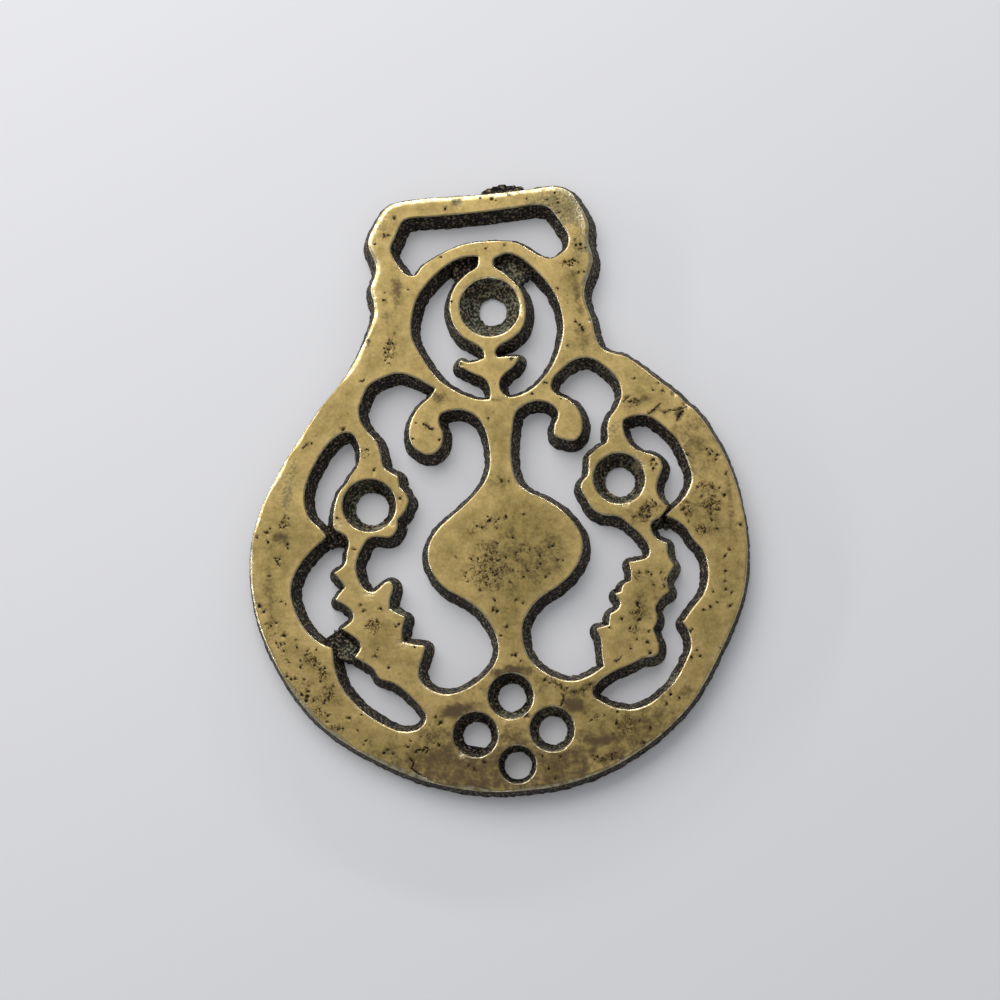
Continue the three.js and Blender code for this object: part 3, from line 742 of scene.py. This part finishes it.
# Worn polish on the edges and bare patches, where a highlight is also painted.
polish_and_highlight = add(nodes, "Attribute", attribute_name="polish_and_highlight").outputs["Fac"]
walled = add(nodes, "Attribute", attribute_name="walled").outputs["Fac"]
rubbed = add(nodes, "Attribute", attribute_name="rubbed").outputs["Fac"]

# Tarnish in clouds about 7 mm across, thinner where hands rub near the edges, with faint
# blots of 1.6 mm and mottling of 0.5 mm in them.
clouds = add(nodes, "TexNoise", {"Vector": place, "Scale": 1 / (7.0 * MM), "Detail": 2.0}).outputs[0]
blots = add(nodes, "TexNoise", {"Vector": place, "Scale": 1 / (1.6 * MM), "Detail": 3.0}).outputs[0]
mottle = add(nodes, "TexNoise", {"Vector": place, "Scale": 1 / (0.5 * MM), "Detail": 2.0}).outputs[0]
tarnish = add(nodes, "Math", {0: clouds, 1: 0.6}, operation="MULTIPLY").outputs[0]
tarnish = add(nodes, "Math", {0: blots, 1: 0.5, 2: tarnish}, operation="MULTIPLY_ADD").outputs[0]
tarnish = add(nodes, "Math", {0: mottle, 1: 0.4, 2: tarnish}, operation="MULTIPLY_ADD").outputs[0]
tarnish = add(nodes, "Math", {0: rubbed, 1: -0.2, 2: tarnish}, operation="MULTIPLY_ADD").outputs[0]
tarnish = add(nodes, "Math", {0: stained, 1: 0.25, 2: tarnish}, operation="MULTIPLY_ADD").outputs[0]
tarnish = add(nodes, "MapRange", {0: tarnish, 1: 0.48, 2: 1.05}).outputs[0]
face = add(nodes, "MixRGB", {0: tarnish, 1: linear("#C0A66C"), 2: linear("#76683A")}).outputs[0]

# Brown stains with ragged edges, and places where the skin is dull, grey and granular.
brown = add(nodes, "Math", {0: blots, 1: 1.2, 2: stained}, operation="MULTIPLY_ADD").outputs[0]
brown = add(nodes, "Math", {0: mottle, 1: 0.8, 2: brown}, operation="MULTIPLY_ADD").outputs[0]
brown = add(nodes, "MapRange", {0: brown, 1: 1.3, 2: 1.95, 4: 0.95}).outputs[0]
face = add(nodes, "MixRGB", {0: brown, 1: face, 2: linear("#65543F")}).outputs[0]
dull = add(nodes, "Math", {0: mottle, 1: 1.8, 2: dulled}, operation="MULTIPLY_ADD").outputs[0]
dull = add(nodes, "MapRange", {0: dull, 1: 1.25, 2: 2.0, 4: 0.8}).outputs[0]
face = add(nodes, "MixRGB", {0: dull, 1: face, 2: linear("#827A5C")}).outputs[0]

# Etching in the pitted patches: brown, curly threads about 0.6 mm apart with greyer metal between.
threads = add(nodes, "TexNoise", {
    "Vector": place, "Scale": 1 / (0.6 * MM), "Detail": 1.0, "Distortion": 1.0,
}).outputs[0]
etched = add(nodes, "Math", {0: blots, 1: 1.2, 2: pitted}, operation="MULTIPLY_ADD").outputs[0]
etched = add(nodes, "MapRange", {0: etched, 1: 0.95, 2: 1.5}).outputs[0]
grey = add(nodes, "Math", {0: etched, 1: 0.22}, operation="MULTIPLY").outputs[0]
face = add(nodes, "MixRGB", {0: grey, 1: face, 2: linear("#9A8258")}).outputs[0]
thread = add(nodes, "Math", {0: threads, 1: 0.5}, operation="SUBTRACT").outputs[0]
thread = add(nodes, "Math", {0: thread}, operation="ABSOLUTE").outputs[0]
breadth = add(nodes, "Math", {0: mottle, 1: etched}, operation="MULTIPLY").outputs[0]
breadth = add(nodes, "Math", {0: breadth, 1: 0.13}, operation="MULTIPLY").outputs[0]
thread = add(nodes, "Math", {0: breadth, 1: thread}, operation="SUBTRACT").outputs[0]
thread = add(nodes, "MapRange", {0: thread, 1: 0.0, 2: 0.025}).outputs[0]

# Specks of dirt in pinholes, one to a cell about 0.7 mm across, and more in the patches.
cells = add(nodes, "TexVoronoi", {"Vector": place, "Scale": 1 / (0.7 * MM)})
chance = add(nodes, "SeparateColor", {0: cells.outputs["Color"]})
share = add(nodes, "Math", {0: pitted, 1: 0.35, 2: 0.12}, operation="MULTIPLY_ADD").outputs[0]
opened = add(nodes, "Math", {0: chance.outputs[0], 1: share}, operation="LESS_THAN").outputs[0]
width = add(nodes, "MapRange", {0: chance.outputs[1], 3: 0.02, 4: 0.2}).outputs[0]
speck = add(nodes, "Math", {0: width, 1: cells.outputs["Distance"]}, operation="SUBTRACT").outputs[0]
speck = add(nodes, "MapRange", {0: speck, 1: 0.0, 2: 0.08}).outputs[0]
speck = add(nodes, "Math", {0: speck, 1: opened}, operation="MULTIPLY").outputs[0]
pit = add(nodes, "Math", {0: speck, 1: thread}, operation="MAXIMUM").outputs[0]
pit = add(nodes, "Math", {0: pit, 1: 0.8}, operation="MULTIPLY").outputs[0]
pit = add(nodes, "Math", {0: pit, 1: packed}, operation="MAXIMUM").outputs[0]
face = add(nodes, "MixRGB", {0: pit, 1: face, 2: linear("#4B3718")}).outputs[0]
face = add(nodes, "MixRGB", {0: packed, 1: face, 2: linear("#231A0D")}).outputs[0]

# Bright worn metal along the edges and in the bare patches, lightened to near white as a painted
# highlight, broken into beads about 0.9 mm long.
beads = add(nodes, "TexNoise", {"Vector": place, "Scale": 1 / (0.9 * MM), "Detail": 3.0}).outputs[0]
bright = add(nodes, "MapRange", {0: beads, 1: 0.42, 2: 0.56, 3: 0.25, 4: 1.0}).outputs[0]
bright = add(nodes, "Math", {0: bright, 1: polish_and_highlight}, operation="MULTIPLY").outputs[0]
polish_and_highlight_share = add(nodes, "Math", {0: bright, 1: 0.8}, operation="MULTIPLY").outputs[0]
# The edge colour is lightened towards near white: a painted highlight on top of the worn metal.
face = add(nodes, "MixRGB", {0: polish_and_highlight_share, 1: face, 2: linear("#F0E6C4")}).outputs[0]

# Dirt on the walls, in grains about 0.45 mm across: black and brown with
# tan flecks, or where it has bloomed
# paler, from tan to the grey green of verdigris.
grains = add(nodes, "TexNoise", {"Vector": place, "Scale": 1 / (0.45 * MM), "Detail": 3.0}).outputs[0]
grain = add(nodes, "MapRange", {0: grains, 1: 0.46, 2: 0.6}).outputs[0]
fleck = add(nodes, "MapRange", {0: grains, 1: 0.58, 2: 0.64}).outputs[0]
bloom = add(nodes, "TexNoise", {"Vector": place, "Scale": 1 / (2.5 * MM), "Detail": 2.0}).outputs[0]
dirt = add(nodes, "MixRGB", {0: grain, 1: linear("#060504"), 2: linear("#4C4032")}).outputs[0]
dirt = add(nodes, "MixRGB", {0: fleck, 1: dirt, 2: linear("#94846A")}).outputs[0]
green = add(nodes, "MapRange", {0: bloom, 1: 0.42, 2: 0.56}).outputs[0]
pale = add(nodes, "MixRGB", {0: green, 1: linear("#9A8A6E"), 2: linear("#8C8B72")}).outputs[0]
pale = add(nodes, "MixRGB", {0: grain, 1: linear("#2B2920"), 2: pale}).outputs[0]
cover = add(nodes, "Math", {0: bloom, 1: 0.8, 2: bloomed}, operation="MULTIPLY_ADD").outputs[0]
cover = add(nodes, "MapRange", {0: cover, 1: 0.5, 2: 1.1}).outputs[0]
dirt = add(nodes, "MixRGB", {0: cover, 1: dirt, 2: pale}).outputs[0]
dirty = add(nodes, "Math", {0: grains, 1: 0.7, 2: walled}, operation="MULTIPLY_ADD").outputs[0]
dirty = add(nodes, "MapRange", {0: dirty, 1: 0.6, 2: 0.8}).outputs[0]
colour = add(nodes, "MixRGB", {0: dirty, 1: face, 2: dirt}).outputs[0]

matt = add(nodes, "Math", {0: packed, 1: dirty}, operation="MAXIMUM").outputs[0]
metal = add(nodes, "MapRange", {0: matt, 3: 1.0, 4: 0.15}).outputs[0]
gloss = add(nodes, "MapRange", {0: tarnish, 3: 0.36, 4: 0.46}).outputs[0]
gloss = add(nodes, "Math", {0: dull, 1: 0.12, 2: gloss}, operation="MULTIPLY_ADD").outputs[0]
gloss = add(nodes, "Math", {0: brown, 1: 0.08, 2: gloss}, operation="MULTIPLY_ADD").outputs[0]
gloss = add(nodes, "Math", {0: pit, 1: 0.25, 2: gloss}, operation="MULTIPLY_ADD").outputs[0]
gloss = add(nodes, "Math", {0: dirty, 1: 0.2, 2: gloss}, operation="MULTIPLY_ADD").outputs[0]
gloss = add(nodes, "Math", {0: bright, 1: -0.16, 2: gloss}, operation="MULTIPLY_ADD").outputs[0]
relief = add(nodes, "Math", {0: blots, 1: 0.5}, operation="MULTIPLY").outputs[0]
relief = add(nodes, "Math", {0: pit, 1: -0.6, 2: relief}, operation="MULTIPLY_ADD").outputs[0]
rough_skin = add(nodes, "Math", {0: dull, 1: mottle}, operation="MULTIPLY").outputs[0]
relief = add(nodes, "Math", {0: rough_skin, 1: 0.5, 2: relief}, operation="MULTIPLY_ADD").outputs[0]
rough_wall = add(nodes, "Math", {0: grains, 1: walled}, operation="MULTIPLY").outputs[0]
relief = add(nodes, "Math", {0: rough_wall, 1: 5.0, 2: relief}, operation="MULTIPLY_ADD").outputs[0]
bump = add(nodes, "Bump", {"Height": relief, "Distance": 0.1 * MM, "Strength": 0.8}).outputs[0]
shader = add(nodes, "BsdfPrincipled", {
    "Base Color": colour, "Metallic": metal, "Roughness": gloss, "Normal": bump,
    "Specular IOR Level": 0.25,
})
add(nodes, "OutputMaterial", {"Surface": shader.outputs[0]})
skin.materials.append(brass)

# ---------------------------------------------------------------------------------------
# The floor: a smooth, matt, pale board.
floor_mesh = bpy.data.meshes.new("floor")
SIDE = 1.5
floor_mesh.from_pydata(
    [(-SIDE, -SIDE, 0), (SIDE, -SIDE, 0), (SIDE, SIDE, 0), (-SIDE, SIDE, 0)], [], [(0, 1, 2, 3)]
)
floor = bpy.data.objects.new("floor", floor_mesh)
floor.location.z = -0.05 * MM
bpy.context.scene.collection.objects.link(floor)
paint = bpy.data.materials.new("matt_white_board")
paint.use_nodes = True
nodes = paint.node_tree
nodes.nodes.clear()
shader = add(nodes, "BsdfPrincipled", {"Base Color": linear("#ECEBED"), "Roughness": 0.7})
add(nodes, "OutputMaterial", {"Surface": shader.outputs[0]})
floor_mesh.materials.append(paint)


# ---------------------------------------------------------------------------------------
# The light: a pale room with a window, soft from nearly everywhere but the viewer's side.
def soft_light(name, place, width, height, power):
    """A soft rectangular light that faces the brass."""
    lamp = bpy.data.lights.new(name, "AREA")
    lamp.shape = "RECTANGLE"
    lamp.size = width
    lamp.size_y = height
    lamp.energy = power
    light = bpy.data.objects.new(name, lamp)
    light.location = place
    light.rotation_euler = (-Vector(place)).to_track_quat("-Z", "Y").to_euler()
    bpy.context.scene.collection.objects.link(light)


soft_light("window", (-0.28, 0.52, 0.5), 0.9, 0.5, 4.2)
soft_light("left_wall", (-0.95, 0.25, 0.2), 1.0, 0.04, 2.6)
soft_light("right_wall", (0.25, 0.95, 0.2), 1.0, 0.04, 3.2)
soft_light("ceiling", (0.0, 0.25, 0.9), 0.6, 0.5, 0.8)
world = bpy.data.worlds.new("pale_room")
world.use_nodes = True
nodes = world.node_tree
background = nodes.nodes["Background"]
background.inputs["Color"].default_value = linear("#C8CCD0")
background.inputs["Strength"].default_value = 0.46
bpy.context.scene.world = world
bpy.context.scene.view_settings.view_transform = "Standard"
